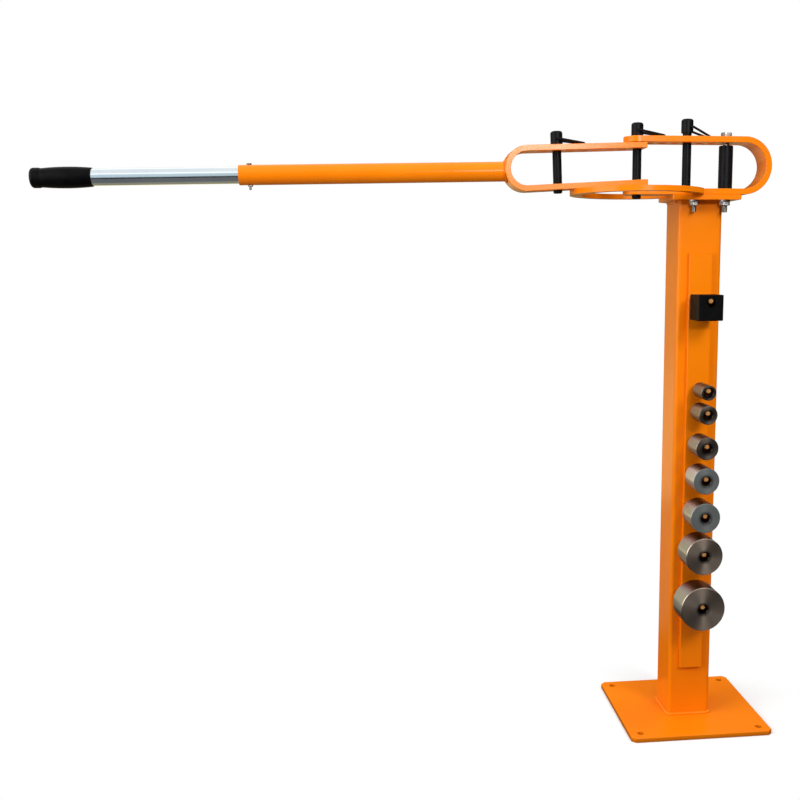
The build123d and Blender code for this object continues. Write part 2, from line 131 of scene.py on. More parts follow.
def apply_modifier(piece, kind, **settings):
    only(piece)
    modifier = piece.modifiers.new(kind.lower(), kind)
    for key, value in settings.items():
        setattr(modifier, key, value)
    bpy.ops.object.modifier_apply(modifier=modifier.name)


def lay(piece, matrix):
    """Puts a piece that was made at the origin in its place, with the place in its mesh."""
    piece.matrix_world = matrix
    only(piece)
    bpy.ops.object.transform_apply(location=True, rotation=True, scale=True)


def raised(height):
    return Matrix.Translation((0.0, 0.0, height))


def joined(name, pieces):
    bpy.ops.object.select_all(action="DESELECT")
    for piece in pieces:
        piece.select_set(True)
    bpy.context.view_layer.objects.active = pieces[0]
    bpy.ops.object.join()
    return started(name)


def close_skin(piece):
    open_up(piece)
    pick_all()
    bpy.ops.mesh.remove_doubles(threshold=MERGE_GAP)
    bpy.ops.mesh.normals_make_consistent(inside=False)
    close_up()


def hand_over(piece, body, finish, stands_for=(), crease=CREASE):
    only(piece)
    bpy.ops.object.shade_smooth_by_angle(angle=radians(crease))
    piece.data.materials.clear()
    piece.data.materials.append(finish)
    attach(piece, body)
    if stands_for:
        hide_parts(*stands_for)


# Nodes

# The colour sockets of a Mix node, which has sockets of other kinds under the same names
MIX_FIRST = 6
MIX_SECOND = 7
MIX_RESULT = 2

# The range that most of a noise lies in
NOISE_LOW = 0.25
NOISE_HIGH = 0.75


class Wiring:
    """A node tree under way."""

    def __init__(self, tree):
        self.tree = tree

    def feed(self, socket, value):
        """Links a socket to another one, or sets it to a plain value."""
        if isinstance(value, bpy.types.NodeSocket):
            self.tree.links.new(value, socket)
        else:
            socket.default_value = value

    def node(self, kind, **inputs):
        made = self.tree.nodes.new(kind)
        for key, value in inputs.items():
            self.feed(made.inputs[key.replace("_", " ")], value)
        return made

    def axes(self, vector):
        return self.node("ShaderNodeSeparateXYZ", Vector=vector).outputs

    def length(self, vector):
        made = self.tree.nodes.new("ShaderNodeVectorMath")
        made.operation = "LENGTH"
        self.feed(made.inputs[0], vector)
        return made.outputs["Value"]

    def between(self, value, low, high, start=NOISE_LOW, stop=NOISE_HIGH, easing="LINEAR"):
        """Goes from low to high while the value goes from start to stop."""
        made = self.node(
            "ShaderNodeMapRange", Value=value, From_Min=start, From_Max=stop, To_Min=low, To_Max=high
        )
        made.interpolation_type = easing
        return made.outputs["Result"]

    def eased(self, value, low, high, start, stop):
        """The same, with a soft start and a soft stop."""
        return self.between(value, low, high, start, stop, easing="SMOOTHSTEP")

    def math(self, operation, *values):
        made = self.tree.nodes.new("ShaderNodeMath")
        made.operation = operation
        for socket, value in zip(made.inputs, values):
            self.feed(socket, value)
        return made.outputs["Value"]

    def total(self, first, *others):
        for other in others:
            first = self.math("ADD", first, other)
        return first

    def product(self, first, *others):
        for other in others:
            first = self.math("MULTIPLY", first, other)
        return first

    def sums(self, first, second, share):
        """First plus a share of second."""
        return self.math("MULTIPLY_ADD", second, share, first)

    def blend(self, first, second, share):
        """From the first colour at share 0 to the second at share 1."""
        made = self.tree.nodes.new("ShaderNodeMix")
        made.data_type = "RGBA"
        self.feed(made.inputs["Factor"], share)
        self.feed(made.inputs[MIX_FIRST], first)
        self.feed(made.inputs[MIX_SECOND], second)
        return made.outputs[MIX_RESULT]

    def blend_numbers(self, first, second, share):
        made = self.node("ShaderNodeMix", Factor=share, A=first, B=second)
        made.data_type = "FLOAT"
        return made.outputs["Result"]

    def blend_shaders(self, first, second, share):
        made = self.node("ShaderNodeMixShader", Fac=share)
        self.feed(made.inputs[1], first)
        self.feed(made.inputs[2], second)
        return made.outputs["Shader"]


# Finishes

class Finish(Wiring):
    """A material under way: its node tree and the shader at its end."""

    def __init__(self, name, metal=0.0, gloss=0.5):
        self.material = bpy.data.materials.new(name)
        self.material.use_nodes = True
        super().__init__(self.material.node_tree)
        self.shader = self.tree.nodes["Principled BSDF"]
        self.shader.inputs["Metallic"].default_value = metal
        self.shader.inputs["Specular IOR Level"].default_value = gloss

    def place(self, centre=(0.0, 0.0, 0.0), turn=(0.0, 0.0, 0.0), stretch=(1.0, 1.0, 1.0)):
        """Coordinates on the piece, in metres, from the centre, turned, and drawn out by stretch."""
        coordinates = self.tree.nodes.new("ShaderNodeTexCoord")
        mapping = self.node(
            "ShaderNodeMapping",
            Vector=coordinates.outputs["Object"],
            Location=centre,
            Rotation=turn,
            Scale=stretch,
        )
        mapping.vector_type = "TEXTURE"
        return mapping.outputs["Vector"]

    def grain(self, place, scale, detail=2.0, roughness=0.5):
        made = self.node(
            "ShaderNodeTexNoise", Vector=place, Scale=scale, Detail=detail, Roughness=roughness
        )
        return made.outputs["Fac"]

    def rings(self, place, scale, distortion):
        """Rings about the Y axis."""
        made = self.node("ShaderNodeTexWave", Vector=place, Scale=scale, Distortion=distortion)
        made.wave_type = "RINGS"
        made.rings_direction = "Y"
        return made.outputs["Fac"]

    def shades(self, value, tones):
        made = self.node("ShaderNodeValToRGB", Fac=value)
        ramp = made.color_ramp
        while len(ramp.elements) < len(tones):
            ramp.elements.new(0.5)
        for element, (position, colour) in zip(ramp.elements, tones):
            element.position = position
            element.color = (*colour, 1.0)
        return made.outputs["Color"]

    def colour(self, socket):
        self.feed(self.shader.inputs["Base Color"], socket)

    def roughness(self, socket):
        self.feed(self.shader.inputs["Roughness"], socket)

    def relief(self, height, depth, strength):
        made = self.node("ShaderNodeBump", Height=height, Distance=depth, Strength=strength)
        self.feed(self.shader.inputs["Normal"], made.outputs["Normal"])


# A finish's tones are places on a ramp, each with its colour
ORANGE_TONES = [
    (0.30, (0.80, 0.178, 0.0010)),
    (0.55, (0.85, 0.198, 0.0014)),
    (0.80, (0.89, 0.220, 0.0020)),
]
# Painted shade: darker tones for the base plate's edges and holes, where shade falls
BASE_SHADE_TONES = [(0.30, (0.10, 0.040, 0.004)), (0.80, (0.16, 0.062, 0.006))]

# How far below the base plate's top its painted shade starts, and how much further down it would be full
BASE_SHADE_DROP = 0.0009
BASE_SHADE_FADE = 0.0125


def orange_enamel(name, shaded_below=None):
    """Sprayed enamel. Painted shade darkens it in holes and on edges, the more the further below a level.
    """
    finish = Finish(name, gloss=0.16)
    place = finish.place()
    thickness = finish.grain(place, scale=7.0, detail=3.0)
    speckle = finish.grain(place, scale=260.0)
    tone = finish.sums(thickness, speckle, share=0.12)
    tone_colour = finish.shades(tone, ORANGE_TONES)
    if shaded_below is not None:
        # Painted shade: the enamel darkens below the level
        height = finish.axes(place)["Z"]
        painted_shade = finish.between(
            height, low=1.0, high=0.0, start=shaded_below - BASE_SHADE_FADE, stop=shaded_below
        )
        tone_colour = finish.blend(tone_colour, finish.shades(tone, BASE_SHADE_TONES), painted_shade)
    finish.colour(tone_colour)
    flow = finish.grain(place, scale=38.0, detail=3.0)
    finish.roughness(finish.between(flow, low=0.17, high=0.25))
    peel = finish.grain(place, scale=520.0, detail=1.5)
    finish.relief(peel, depth=0.00010, strength=0.35)
    return finish.material


WORN_TONES = [
    (0.30, (0.34, 0.150, 0.046)),
    (0.55, (0.50, 0.230, 0.070)),
    (0.80, (0.62, 0.330, 0.120)),
]


def worn_enamel():
    finish = Finish("worn enamel", gloss=0.25)
    rubbed = finish.grain(finish.place(), scale=320.0, detail=4.0, roughness=0.6)
    finish.colour(finish.shades(rubbed, WORN_TONES))
    finish.roughness(finish.between(rubbed, low=0.26, high=0.42))
    finish.relief(rubbed, depth=0.00005, strength=0.3)
    return finish.material


OXIDE_TONES = [(0.30, (0.0030, 0.0030, 0.0038)), (0.75, (0.0080, 0.0080, 0.0096))]


def black_oxide():
    finish = Finish("black oxide steel", gloss=0.06)
    cloud = finish.grain(finish.place(), scale=90.0, detail=4.0)
    finish.colour(finish.shades(cloud, OXIDE_TONES))
    finish.roughness(finish.between(cloud, low=0.30, high=0.46))
    drawn = finish.grain(finish.place(stretch=(1.0, 1.0, 0.05)), scale=1400.0)
    finish.relief(drawn, depth=0.00004, strength=0.3)
    return finish.material


BLOCK_TONES = [(0.30, (0.0012, 0.0012, 0.0014)), (0.75, (0.0038, 0.0038, 0.0042))]


def block_oxide():
    finish = Finish("black block steel", gloss=0.04)
    cloud = finish.grain(finish.place(), scale=55.0, detail=5.0, roughness=0.6)
    finish.colour(finish.shades(cloud, BLOCK_TONES))
    finish.roughness(finish.between(cloud, low=0.34, high=0.52))
    sawn = finish.grain(finish.place(stretch=(1.0, 1.0, 0.04)), scale=900.0)
    finish.relief(sawn, depth=0.00006, strength=0.35)
    return finish.material


ZINC_TONES = [(0.30, (0.29, 0.285, 0.265)), (0.70, (0.45, 0.44, 0.41))]


def zinc_plate():
    finish = Finish("zinc plate", metal=1.0)
    place = finish.place()
    spangle = finish.grain(place, scale=420.0, detail=3.0, roughness=0.65)
    finish.colour(finish.shades(spangle, ZINC_TONES))
    finish.roughness(finish.between(spangle, low=0.32, high=0.48))
    finish.relief(finish.grain(place, scale=900.0), depth=0.00003, strength=0.3)
    return finish.material


BRIGHT_TONES = [(0.30, (0.65, 0.72, 0.77)), (0.75, (0.74, 0.80, 0.83))]


def bright_plate():
    """Plate on a drawn tube, with its drawing marks along the handle."""
    finish = Finish("bright plated tube", metal=1.0)
    along = finish.place(turn=(0.0, -HANDLE_LEAN, 0.0), stretch=(14.0, 1.0, 1.0))
    drawn = finish.grain(along, scale=900.0, detail=3.0)
    bloom = finish.grain(finish.place(), scale=26.0, detail=3.0)
    finish.colour(finish.shades(bloom, BRIGHT_TONES))
    tone = finish.sums(bloom, drawn, share=0.5)
    finish.roughness(finish.between(tone, low=0.10, high=0.22, start=0.4, stop=1.1))
    finish.relief(drawn, depth=0.00003, strength=0.25)
    return finish.material


RUBBER_TONES = [(0.30, (0.0010, 0.0010, 0.0012)), (0.75, (0.0028, 0.0028, 0.0032))]


def grip_rubber():
    finish = Finish("grip rubber", gloss=0.06)
    place = finish.place()
    bloom = finish.grain(place, scale=60.0, detail=4.0)
    finish.colour(finish.shades(bloom, RUBBER_TONES))
    finish.roughness(finish.between(bloom, low=0.36, high=0.50))
    finish.relief(finish.grain(place, scale=1500.0), depth=0.00008, strength=0.35)
    return finish.material


# Places on the ramp of the darkest and the lightest marks of turning, the tones of the bore's oil and
# painted shade and of the painted shade on a die's top, and how far the marks depart from the colour of a
# die's side and face
MARK_DARK = 0.45
MARK_LIGHT = 0.95
BORE_OIL_AND_SHADE_TONES = [(0.35, (0.010, 0.008, 0.007)), (0.75, (0.030, 0.026, 0.022))]
TOP_SHADE_TONES = [(MARK_DARK, (0.060, 0.034, 0.022)), (MARK_LIGHT, (0.095, 0.056, 0.038))]
SIDE_CONTRAST = 0.10
FACE_CONTRAST = 0.25

# Where the painted shade on a die's top starts and covers, in shares of the die's radius above its axis,
# where the faced end gives way to the side, behind its plane, and the radii between which the bore's oil
# and painted shade fade out
TOP_SHADE_STARTS = 0.66
TOP_SHADE_COVERS = 0.96
FACE_ENDS = 0.0006
SIDE_STARTS = 0.0012
OIL_AND_SHADE_FADES = 0.0080
OIL_AND_SHADE_ENDS = 0.0135

# How much rougher the faced end is than the side, and the lightest marks than the darkest
FACED_ROUGHER = 0.07
MARKS_ROUGHER = 0.08


def marked(colour, contrast):
    """The tones of a colour in the marks of turning."""
    return [
        (MARK_DARK, [(1 - contrast) * part for part in colour]),
        (MARK_LIGHT, [(1 + contrast) * part for part in colour]),
    ]


def turned_steel(node, face, side, bare, face_roughness):
    """Lathe-turned steel: fine rings about the die's own axis, a drawn side darkened on its top by painted
    shade, a faced end, and a bore darkened by oil and painted shade."""
    low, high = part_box(node)
    finish = Finish(f"turned steel {node}")
    place = finish.place(centre=(low + high) / 2)
    axes = finish.axes(place)
    feed = finish.rings(place, scale=110.0, distortion=0.4)
    fine = finish.rings(place, scale=420.0, distortion=1.0)
    cloud = finish.grain(place, scale=45.0, detail=3.0)
    cut = finish.sums(feed, fine, share=0.7)
    tone = finish.sums(cut, cloud, share=0.8)

    drawn = finish.shades(tone, marked(side, SIDE_CONTRAST))
    # Painted shade: the die's side darker on its top, under the die above
    tone_colour = finish.shades(tone, TOP_SHADE_TONES)
    reach = (high.z - low.z) / 2
    shaded_top = finish.between(
        axes["Z"], low=0.0, high=1.0, start=TOP_SHADE_STARTS * reach, stop=TOP_SHADE_COVERS * reach
    )
    drawn = finish.blend(drawn, tone_colour, shaded_top)
    faced = finish.shades(tone, marked(face, FACE_CONTRAST))
    front = (low.y - high.y) / 2
    end = finish.between(
        axes["Y"], low=1.0, high=0.0, start=front + FACE_ENDS, stop=front + SIDE_STARTS
    )
    # Oil round the bore, and painted shade inside it: the bore and a ring round it darkened
    oil_and_shade = finish.shades(cloud, BORE_OIL_AND_SHADE_TONES)
    across = finish.node("ShaderNodeCombineXYZ", X=axes["X"], Z=axes["Z"])
    radius = finish.length(across.outputs["Vector"])
    bore = finish.between(radius, low=1.0, high=0.0, start=OIL_AND_SHADE_FADES, stop=OIL_AND_SHADE_ENDS)
    finish.colour(finish.blend(finish.blend(drawn, faced, end), oil_and_shade, bore))

    least = face_roughness - FACED_ROUGHER
    rough = finish.between(tone, low=least, high=least + MARKS_ROUGHER, start=0.4, stop=1.4)
    finish.roughness(finish.sums(rough, end, share=FACED_ROUGHER))
    finish.relief(cut, depth=0.00003, strength=0.25)
    bare_face, bare_side = bare
    shader = finish.shader
    metal = finish.between(end, low=bare_side, high=bare_face, start=0.0, stop=1.0)
    finish.feed(shader.inputs["Metallic"], metal)
    shader.inputs["Anisotropic"].default_value = 0.80
    shader.inputs["Anisotropic Rotation"].default_value = 0.25
    tangent = finish.tree.nodes.new("ShaderNodeTangent")
    tangent.direction_type = "RADIAL"
    tangent.axis = "Y"
    finish.feed(shader.inputs["Tangent"], tangent.outputs["Tangent"])
    return finish.material


ENAMEL = orange_enamel("orange enamel")
# The base plate's enamel, with painted shade on its edges and in its holes
BASE_ENAMEL = orange_enamel("orange enamel on the base", shaded_below=COLUMN_LOW.z - BASE_SHADE_DROP)
WORN = worn_enamel()
OXIDE = black_oxide()
BLOCK = block_oxide()
ZINC = zinc_plate()
BRIGHT = bright_plate()
RUBBER = grip_rubber()

PAINTED = [
    "column", "foot_weld", "top_plate", "main_frame", "guide_ring", "swing_arm",
    "handle_socket", "die_rack",
]
BLACKENED = [
    "pivot_pin", "stop_pin", "bending_pin", "pivot_bail", "stop_bail", "bending_bail", "roller_sleeve",
]
PLATED = ["frame_stud", "roller_bolt", "bolt_washers", "bolt_nuts", "handle_bolt", "handle_nut"]

# A die's faced end and drawn side, the share of bare metal on each, and its faced end's least roughness
OILED = ((0.100, 0.078, 0.060), (0.23, 0.20, 0.15), (0.90, 0.95), 0.34)
PALE_OILED = ((0.095, 0.074, 0.060), (0.30, 0.29, 0.26), (0.90, 0.95), 0.34)
PLAIN = ((0.104, 0.113, 0.110), (0.50, 0.52, 0.53), (0.30, 0.95), 0.34)
BROWN = ((0.315, 0.245, 0.195), (0.38, 0.38, 0.39), (1.00, 0.95), 0.30)
DIES = {
    "die_25": OILED,
    "die_32": OILED,
    "die_38": PALE_OILED,
    "die_44": PLAIN,
    "die_51": PLAIN,
    "die_64": BROWN,
    "die_76": BROWN,
}


def paint(node, finish):
    NODES[node].data.materials.clear()
    NODES[node].data.materials.append(finish)


for painted in PAINTED:
    paint(painted, ENAMEL)
for blackened in BLACKENED:
    paint(blackened, OXIDE)
for plated in PLATED:
    paint(plated, ZINC)
paint("base_plate", BASE_ENAMEL)
paint("rack_pegs", WORN)
paint("handle_tube", BRIGHT)
paint("handle_grip", RUBBER)
paint("square_block", BLOCK)
for die, turned in DIES.items():
    paint(die, turned_steel(die, *turned))


# Screws and nuts, with the threads and coned corners that the CAD leaves plain

# Sides of a turned piece, the width of a broken edge, and how squarely an end face looks along the axis
TURNED_SIDES = 56
EDGE_BREAK = 0.00012
END_FACING = 0.9

# A hexagon is cut by a blank a little wider than its corners and coned to just inside its flats. Where one
# of them has to run on past the other, it does so by the spare length
CONE_ANGLE = radians(30.0)
BLANK_WIDER = 1.002
CONE_FOOT = 0.97
SPARE = 0.0010

# A thread's depth and its crest's width in pitches, the share of its width at its drawn-in end, and the
# turns wound past each end and cut off
THREAD_STEPS = 28
THREAD_DEPTH = 0.58
THREAD_CREST = 0.16
THREAD_END = 0.82
SPARE_TURNS = 2


def upright(name, sides, radius, height):
    """A prism standing on the origin, with a flat, not a corner, towards Y."""
    piece = begun(
        name, bpy.ops.mesh.primitive_cylinder_add, vertices=sides, radius=radius, depth=height
    )
    lay(piece, raised(height / 2) @ Matrix.Rotation(pi / sides, 4, "Z"))
    return piece


def break_edges():
    bpy.ops.mesh.bevel(offset=EDGE_BREAK, segments=2, affect="EDGES")


def cut_by(piece, tool, operation):
    apply_modifier(piece, "BOOLEAN", object=tool, operation=operation, solver="EXACT")
    bpy.data.objects.remove(tool, do_unlink=True)


def coned_blank(corner, flat, height, both_ends):
    """A turned blank as wide as a hexagon's corners, coned off to its flats at its top. Its foot is coned
    in the same way, or else runs on past the hexagon's foot."""
    cone = (corner - flat) * tan(CONE_ANGLE)
    blank = upright("blank", TURNED_SIDES, corner, height)
    open_up(blank)
    ends = [(height, cone)]
    if both_ends:
        ends.append((0.0, -cone))
    else:
        pick_points(blank, lambda place: abs(place.z) < LEVEL_GAP)
        bpy.ops.transform.translate(value=(0.0, 0.0, -SPARE))
    for level, rise in ends:
        pick_points(blank, lambda place: abs(place.z - level) < LEVEL_GAP)
        bpy.ops.transform.translate(value=(0.0, 0.0, -rise))
        bpy.ops.mesh.extrude_region_move(TRANSFORM_OT_translate={"value": (0.0, 0.0, rise)})
        bpy.ops.transform.resize(
            value=(flat / corner, flat / corner, 1.0), center_override=(0.0, 0.0, level)
        )
    close_up()
    return blank


def hexagon(name, flats, height, both_ends=False):
    """A prism that runs on past its coned ends, cut back by a coned blank, so that no two faces lie
    together."""
    corner = flats / sqrt(3)
    foot = SPARE if both_ends else 0.0
    piece = upright(name, 6, corner, foot + height + SPARE)
    lay(piece, raised(-foot))
    open_up(piece)
    pick_all()
    break_edges()
    close_up()
    blank = coned_blank(corner * BLANK_WIDER, flats / 2 * CONE_FOOT, height, both_ends)
    cut_by(piece, blank, "INTERSECT")
    return piece


def nut(name, flats, height, bore):
    piece = hexagon(name, flats, height, both_ends=True)
    drill = upright("drill", TURNED_SIDES, bore / 2, 3 * height)
    lay(drill, raised(-height))
    cut_by(piece, drill, "DIFFERENCE")
    return piece


def thread(diameter, pitch, length):
    """A length of screw thread standing on the origin: one pitch of its flanks, wound up and cut off
    square, with its lower end drawn in."""
    crest = diameter / 2
    root = crest - THREAD_DEPTH * pitch
    flank = (root + crest) / 2
    piece = begun("thread", bpy.ops.mesh.primitive_plane_add, size=1.0)
    middle = Matrix.Translation((flank, 0.0, pitch / 2))
    across = Matrix.Diagonal((crest - root, 1.0, pitch, 1.0))
    lay(piece, middle @ across @ Matrix.Rotation(pi / 2, 4, "X"))
    open_up(piece)
    pick_all()
    bpy.ops.mesh.delete(type="ONLY_FACE")
    pick_points(piece, lambda place: place.x < flank)
    bpy.ops.mesh.delete(type="EDGE")
    pick_points(piece, lambda place: place.x > flank)
    bpy.ops.transform.resize(value=(1.0, 1.0, THREAD_CREST), center_override=(crest, 0.0, pitch / 2))
    pick_all()
    bpy.ops.transform.translate(value=(0.0, 0.0, -SPARE_TURNS * pitch))
    close_up()
    apply_modifier(
        piece, "SCREW", axis="Z", angle=2 * pi, screw_offset=pitch,
        iterations=int(length / pitch) + 2 * SPARE_TURNS, steps=THREAD_STEPS, render_steps=THREAD_STEPS,
        use_merge_vertices=True, merge_threshold=MERGE_GAP,
    )
    open_up(piece)
    for level in (0.0, length):
        pick_all()
        bpy.ops.mesh.bisect(
            plane_co=(0.0, 0.0, level), plane_no=(0.0, 0.0, 1.0), use_fill=True,
            clear_inner=level == 0.0, clear_outer=level == length, threshold=LEVEL_GAP,
        )
    pick_points(piece, lambda place: place.z < LEVEL_GAP)
    bpy.ops.transform.resize(value=(THREAD_END, THREAD_END, 1.0), center_override=(0.0, 0.0, 0.0))
    close_up()
    close_skin(piece)
    return piece


def shank(diameter, low, high):
    piece = upright("shank", TURNED_SIDES, diameter / 2, high - low)
    open_up(piece)
    pick_faces(piece, lambda normal: abs(normal.z) > END_FACING)
    break_edges()
    close_up()
    lay(piece, raised(low))
    return piece


# Each thread's diameter, pitch and length
ROLLER_THREAD = (0.0100, 0.0015, 0.030)
STUD_THREAD = (0.0080, 0.00125, 0.022)
CROSS_THREAD = (0.0040, 0.0007, 0.010)

# Heights of the cross bolt's head and of the smaller nuts, the stud nut's width across its flats, and how
# far a shank runs into its thread and its head
CROSS_HEAD = 0.0024
CROSS_NUT = 0.0022
STUD_NUT = 0.0062
STUD_FLATS = 0.013
OVERLAP = 0.0005


def roller_bolt():
    diameter, pitch, length = ROLLER_THREAD
    head_at = WASHER_HIGH.z - BOLT_LOW.z
    head = hexagon("head", BOLT_HIGH.y - BOLT_LOW.y, BOLT_HIGH.z - WASHER_HIGH.z)
    lay(head, raised(head_at))
    body = shank(diameter, length - OVERLAP, head_at + OVERLAP)
    bolt = joined("roller_bolt_threaded", [thread(diameter, pitch, length), body, head])
    lay(bolt, Matrix.Translation((ROLLER_X, FRAME_Y, BOLT_LOW.z)))
    hand_over(bolt, "stand", ZINC, stands_for=("roller_bolt",))


def frame_stud():
    diameter, pitch, length = STUD_THREAD
    body = shank(diameter, length - OVERLAP, STUD_HIGH.z - STUD_LOW.z)
    stud = joined("frame_stud_threaded", [thread(diameter, pitch, length), body])
    lay(stud, Matrix.Translation((STUD_X, FRAME_Y, STUD_LOW.z)))
    hand_over(stud, "stand", ZINC, stands_for=("frame_stud",))


def frame_nuts():
    roller_nut = nut("nut", BOLT_HIGH.y - BOLT_LOW.y, NUT_HIGH.z - NUT_LOW.z, ROLLER_THREAD[0])
    lay(roller_nut, Matrix.Translation((ROLLER_X, FRAME_Y, NUT_LOW.z)))
    stud_nut = nut("nut", STUD_FLATS, STUD_NUT, STUD_THREAD[0])
    lay(stud_nut, Matrix.Translation((STUD_X, FRAME_Y, NUT_HIGH.z - STUD_NUT)))
    nuts = joined("frame_hex_nuts", [roller_nut, stud_nut])
    hand_over(nuts, "stand", ZINC, stands_for=("bolt_nuts",))


def handle_cross_bolt():
    diameter, pitch, length = CROSS_THREAD
    flats = CROSS_HIGH.y - CROSS_LOW.y
    whole = (CROSS_HIGH.z - CROSS_LOW.z) / cos(HANDLE_LEAN)
    head = hexagon("head", flats, CROSS_HEAD)
    lay(head, raised(whole - CROSS_HEAD))
    body = shank(diameter, length - OVERLAP, whole - CROSS_HEAD + OVERLAP)
    bolt = joined("handle_bolt_threaded", [thread(diameter, pitch, length), body, head])
    middle = (CROSS_LOW + CROSS_HIGH) / 2
    turn = Matrix.Rotation(-HANDLE_LEAN, 4, "Y")
    lay(bolt, Matrix.Translation(middle) @ turn @ raised(-whole / 2))
    hand_over(bolt, "arm", ZINC, stands_for=("handle_bolt",))
    nut_middle = (CROSS_NUT_LOW + CROSS_NUT_HIGH) / 2
    fitted = nut("handle_hex_nut", flats, CROSS_NUT, diameter)
    lay(fitted, Matrix.Translation(nut_middle) @ turn @ raised(-CROSS_NUT / 2))
    hand_over(fitted, "arm", ZINC, stands_for=("handle_nut",))


roller_bolt()
frame_stud()
frame_nuts()
handle_cross_bolt()


# Weld beads: one scale of weld metal, laid again and again along the seam and melted into one skin

# How far each scale is laid past the last one, its lean, the fineness of the skin, and a scale's thickness
# in shares of its girth
BEAD_STEP = 0.0019
BEAD_LEAN = radians(28.0)
BEAD_GRAIN = 0.00055
SCALE_THINNESS = 0.62

# Steps round each corner of the foot's seam, and round the whole of the socket's seam
CORNER_STEPS = 8
SOCKET_STEPS = 72


def bead(name, route, girth):
    piece = begun(
        name, bpy.ops.mesh.primitive_uv_sphere_add, segments=20, ring_count=12, radius=girth / 2
    )
    open_up(piece)
    pick_all()
    bpy.ops.transform.resize(value=(SCALE_THINNESS, 1.0, 1.0), center_override=(0.0, 0.0, 0.0))
    bpy.ops.transform.rotate(value=BEAD_LEAN, orient_axis="Y", center_override=(0.0, 0.0, 0.0))
    close_up()
    apply_modifier(
        piece, "ARRAY", fit_type="FIT_CURVE", curve=route, use_relative_offset=False,
        use_constant_offset=True, constant_offset_displace=(BEAD_STEP, 0.0, 0.0),
    )
    apply_modifier(piece, "CURVE", object=route, deform_axis="POS_X")
    apply_modifier(piece, "REMESH", mode="VOXEL", voxel_size=BEAD_GRAIN)
    bpy.data.objects.remove(route, do_unlink=True)
    return piece


def seam_of(piece):
    only(piece)
    bpy.ops.object.convert(target="CURVE")
    return bpy.context.active_object


def square_seam(half, corner, level):
    """A route round a square tube's foot."""
    piece = begun("seam", bpy.ops.mesh.primitive_plane_add, size=2 * half)
    lay(piece, raised(level))
    open_up(piece)
    pick_all()
    bpy.ops.mesh.bevel(offset=corner, segments=CORNER_STEPS, affect="VERTICES")
    bpy.ops.mesh.delete(type="ONLY_FACE")
    close_up()
    return seam_of(piece)


def straight_seam(start, stop):
    """A route from one point to another: a plane's edge, with its other edges taken away."""
    piece = begun("seam", bpy.ops.mesh.primitive_plane_add, size=1.0)
    open_up(piece)
    pick_points(piece, lambda place: place.y > 0.0)
    bpy.ops.mesh.delete(type="VERT")
    pick_all()
    bpy.ops.transform.translate(value=(0.5, 0.5, 0.0))
    close_up()
    run = Vector(stop) - Vector(start)
    turn = run.to_track_quat("X", "Z").to_matrix().to_4x4()
    lay(piece, Matrix.Translation(start) @ turn @ Matrix.Scale(run.length, 4))
    return seam_of(piece)


# A bead's girth, and its seat: how far its middle lies from the faces that it joins
FOOT_GIRTH = 0.0062
FOOT_SEAT = 0.0012
HEAD_GIRTH = 0.0048
HEAD_SEAT = 0.0010
RING_GIRTH = 0.0034
RING_SEAT = 0.0004
SOCKET_GIRTH = 0.0042
SOCKET_SEAT = 0.0006

# The column's corner, half a head bead's length, the ring's width, and how far back along the socket its
# seam starts before it is laid on the arm
COLUMN_CORNER = 0.006
HEAD_RUN = 0.026
RING_WIDTH = 0.0185
SOCKET_SETBACK = 0.030


def foot_bead():
    half = (COLUMN_HIGH.x - COLUMN_LOW.x) / 2 + FOOT_SEAT
    seam = square_seam(half, COLUMN_CORNER + FOOT_SEAT, COLUMN_LOW.z + FOOT_SEAT)
    piece = bead("foot_weld_bead", seam, FOOT_GIRTH)
    hand_over(piece, "stand", ENAMEL, stands_for=("foot_weld",), crease=BEAD_CREASE)


def head_beads():
    """The column's sides, welded to the top plate."""
    level = COLUMN_HIGH.z - HEAD_SEAT
    pieces = []
    for side in (COLUMN_LOW.x - HEAD_SEAT, COLUMN_HIGH.x + HEAD_SEAT):
        seam = straight_seam((side, -HEAD_RUN, level), (side, HEAD_RUN, level))
        pieces.append(bead("head_weld", seam, HEAD_GIRTH))
    piece = joined("head_weld_beads", pieces)
    hand_over(piece, "stand", ENAMEL, crease=BEAD_CREASE)


def ring_beads():
    """The guide ring's two ends, welded to the edges of the frame's lower leg."""
    half = (FRAME_HIGH.y - FRAME_LOW.y) / 2
    reach = (RING_HIGH.y - RING_LOW.y) / 2
    centre = RING_LOW.x + reach
    start = centre + sqrt((reach - RING_WIDTH) ** 2 - half ** 2) + RING_GIRTH / 2
    stop = centre + sqrt(reach ** 2 - half ** 2) - RING_GIRTH / 2
    level = RING_HIGH.z - RING_SEAT
    pieces = []
    for side in (FRAME_LOW.y - RING_SEAT, FRAME_HIGH.y + RING_SEAT):
        seam = straight_seam((start, side, level), (stop, side, level))
        pieces.append(bead("ring_weld", seam, RING_GIRTH))
    piece = joined("ring_weld_beads", pieces)
    hand_over(piece, "stand", ENAMEL, crease=BEAD_CREASE)


def socket_bead():
    """The handle socket's end, welded to the outside of the arm's bend."""
    girth = SOCKET_HIGH.y - SOCKET_LOW.y
    piece = begun(
        "seam", bpy.ops.mesh.primitive_circle_add, vertices=SOCKET_STEPS, radius=girth / 2 + SOCKET_SEAT
    )
    middle = Vector((SOCKET_HIGH.x - SOCKET_SETBACK, FRAME_Y, SOCKET_HIGH.z - girth / 2))
    lay(piece, Matrix.Translation(middle) @ Matrix.Rotation(pi / 2, 4, "Y"))
    apply_modifier(
        piece, "SHRINKWRAP", target=NODES["swing_arm"], wrap_method="PROJECT", use_project_x=True,
        use_negative_direction=False, use_positive_direction=True, offset=SOCKET_SEAT,
    )
    piece = bead("socket_weld_bead", seam_of(piece), SOCKET_GIRTH)
    hand_over(piece, "arm", ENAMEL, crease=BEAD_CREASE)


foot_bead()
head_beads()
ring_beads()
socket_bead()


# Stage: a pale floor that keeps the shadow under the object and is white further out, and a white world

